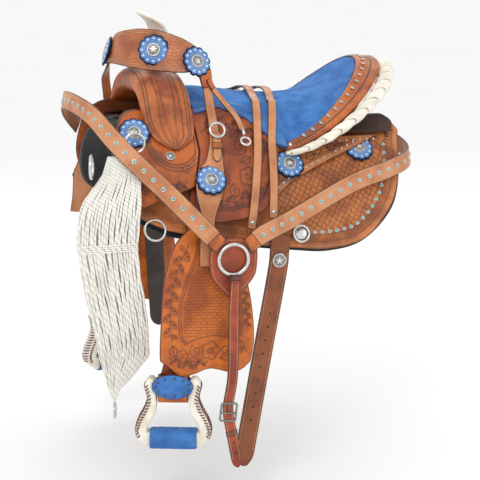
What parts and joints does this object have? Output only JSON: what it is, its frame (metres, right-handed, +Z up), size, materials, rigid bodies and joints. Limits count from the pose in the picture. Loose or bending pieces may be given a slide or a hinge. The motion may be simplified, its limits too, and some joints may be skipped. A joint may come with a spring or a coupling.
{
  "type": "western saddle",
  "caption": "Western barrel saddle with horn, suede seat, fenders and bell stirrups, hung with its matching headstall, reins, breast collar and folded string cinch.",
  "frame": {"origin": "on the centre plane under the low point of the seat, where the saddle's bars rest over the top of the horse's back or the rack", "axes": "-X towards the horse's head, -Y to the near (left) side, +Z up"},
  "size_m": [0.706, 0.6064, 0.8467],
  "materials": {
    "saddle_leather": "tooled, satin",
    "tack_leather": "smooth, satin",
    "red_leather": "smooth, satin",
    "dark_leather": "smooth, satin",
    "blue_suede": "napped, matte",
    "rawhide": "smooth, satin",
    "fleece": "pile, matte",
    "tree_wood": "bare",
    "nickel": "polished",
    "cinch_cord": "twisted cord, matte"
  },
  "bodies": {
    "saddle": {"skirt_near": "saddle_leather", "skirt_far": "saddle_leather", "rear_jockey_near": "saddle_leather", "rear_jockey_far": "saddle_leather", "seat_jockey_near": "saddle_leather", "seat_jockey_far": "saddle_leather", "front_jockey_near": "saddle_leather", "front_jockey_far": "saddle_leather", "fork": "saddle_leather", "cantle_roll": "saddle_leather", "tree_cantle": "saddle_leather", "ground_seat": "saddle_leather", "browband": "tack_leather", "headstall_crown": "tack_leather", "cheek_near": "tack_leather", "cheek_far": "tack_leather", "throat_strap": "tack_leather", "collar_front_strap": "tack_leather", "collar_rear_strap": "tack_leather", "rein_front": "tack_leather", "rein_rear": "tack_leather", "collar_safe": "red_leather", "seat_pad": "blue_suede", "horn_neck": "rawhide", "horn_cap": "rawhide", "cantle_lacing": "rawhide", "lining_near": "fleece", "lining_far": "fleece", "tree_bar_near": "tree_wood", "tree_bar_far": "tree_wood", "rear_dee_near": "nickel", "rear_dee_far": "nickel", "front_dee_near": "nickel", "front_dee_far": "nickel", "cinch_ring_front": "nickel", "cinch_ring_rear": "nickel", "cinch_dee": "nickel", "collar_ring": "nickel", "cheek_buckle_near": "nickel", "cheek_buckle_far": "nickel", "snap_hook": "nickel", "cinch_strings": "cinch_cord"},
    "near_fender": {"fender_near": "saddle_leather", "stirrup_leather_near": "tack_leather", "hobble_patch_near": "blue_suede"},
    "far_fender": {"fender_far": "saddle_leather", "stirrup_leather_far": "tack_leather", "hobble_patch_far": "blue_suede"},
    "near_stirrup": {"stirrup_near": "rawhide", "tread_wrap_near": "blue_suede", "stirrup_bolt_near": "nickel"},
    "far_stirrup": {"stirrup_far": "rawhide", "tread_wrap_far": "blue_suede", "stirrup_bolt_far": "nickel"},
    "near_billet": {"rear_billet_near": "saddle_leather"},
    "far_billet": {"rear_billet_far": "saddle_leather"},
    "off_billet": {"off_billet": "dark_leather"},
    "tie_down": {"tie_down_strap": "red_leather", "tie_down_buckle": "nickel"}
  },
  "joints": [
    {"name": "near_fender_swing", "type": "hinge", "parent": "saddle", "child": "near_fender", "pos_m": [-0.19, 0, 0.008], "axis": [0, 1, 0], "range_deg": [-3, 20]},
    {"name": "far_fender_swing", "type": "hinge", "parent": "saddle", "child": "far_fender", "pos_m": [-0.19, 0, 0.008], "axis": [0, 1, 0], "range_deg": [-3, 20]},
    {"name": "near_stirrup_swing", "type": "hinge", "parent": "near_fender", "child": "near_stirrup", "pos_m": [-0.272, -0.26, -0.424], "axis": [0.9397, -0.342, 0], "range_deg": [-25, 0]},
    {"name": "far_stirrup_swing", "type": "hinge", "parent": "far_fender", "child": "far_stirrup", "pos_m": [-0.272, 0.26, -0.424], "axis": [0.9397, 0.342, 0], "range_deg": [0, 25]},
    {"name": "near_billet_swing", "type": "hinge", "parent": "saddle", "child": "near_billet", "pos_m": [-0.056, 0, -0.146], "axis": [0, 1, 0], "range_deg": [-20, 2]},
    {"name": "far_billet_swing", "type": "hinge", "parent": "saddle", "child": "far_billet", "pos_m": [-0.056, 0, -0.146], "axis": [0, 1, 0], "range_deg": [-20, 2]},
    {"name": "off_billet_swing", "type": "hinge", "parent": "saddle", "child": "off_billet", "pos_m": [-0.182, 0, -0.176], "axis": [0, 1, 0], "range_deg": [-20, 20]},
    {"name": "tie_down_swing", "type": "hinge", "parent": "saddle", "child": "tie_down", "pos_m": [-0.166, 0, -0.2], "axis": [0, 1, 0], "range_deg": [-20, 3]}
  ]
}
